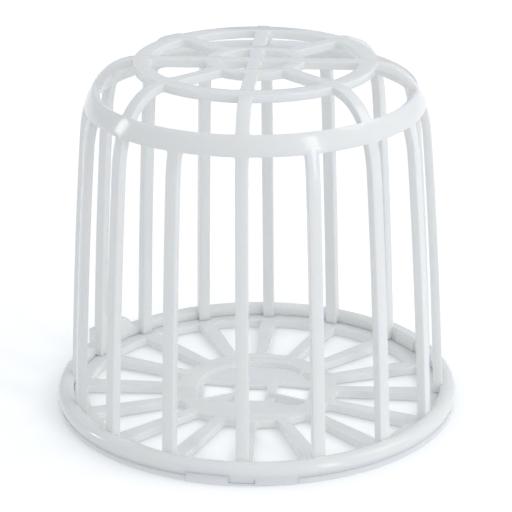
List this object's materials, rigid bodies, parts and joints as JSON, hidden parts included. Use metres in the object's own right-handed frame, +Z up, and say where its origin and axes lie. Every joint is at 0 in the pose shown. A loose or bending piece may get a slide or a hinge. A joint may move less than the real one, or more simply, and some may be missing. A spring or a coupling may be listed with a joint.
{
  "type": "queen cage",
  "caption": "Round domed cage of upright plastic bars on a spoked base plate, for holding a queen bee while workers pass between the bars.",
  "frame": {"origin": "centre of the base's underside", "axes": "+Z up along the axis of the dome, -Y towards the bar over the front catch"},
  "size_m": [0.03, 0.03, 0.0264],
  "materials": {
    "dome_plastic": "satin white polypropylene",
    "base_plastic": "satin white polypropylene"
  },
  "bodies": {
    "base": {"base_rim": "base_plastic", "floor_grille": "base_plastic", "hub_socket": "base_plastic", "catch_tab_01": "base_plastic", "catch_tab_02": "base_plastic", "catch_tab_03": "base_plastic"},
    "dome": {"flange_ring": "dome_plastic", "bar_01": "dome_plastic", "bar_02": "dome_plastic", "bar_03": "dome_plastic", "bar_04": "dome_plastic", "bar_05": "dome_plastic", "bar_06": "dome_plastic", "bar_07": "dome_plastic", "bar_08": "dome_plastic", "bar_09": "dome_plastic", "bar_10": "dome_plastic", "bar_11": "dome_plastic", "bar_12": "dome_plastic", "bar_13": "dome_plastic", "bar_14": "dome_plastic", "bar_15": "dome_plastic", "bar_16": "dome_plastic", "shoulder_hoop": "dome_plastic", "shoulder_rib_01": "dome_plastic", "shoulder_rib_02": "dome_plastic", "shoulder_rib_03": "dome_plastic", "shoulder_rib_04": "dome_plastic", "shoulder_rib_05": "dome_plastic", "shoulder_rib_06": "dome_plastic", "shoulder_rib_07": "dome_plastic", "shoulder_rib_08": "dome_plastic", "crown_grille": "dome_plastic", "catch_lug_01": "dome_plastic", "catch_lug_02": "dome_plastic", "catch_lug_03": "dome_plastic", "grip_tab": "dome_plastic", "ring_land": "dome_plastic"}
  },
  "joints": [
    {"name": "dome_lift", "type": "slide", "parent": "base", "child": "dome", "axis": [0, 0, 1], "range_m": [0, 0.03]}
  ]
}
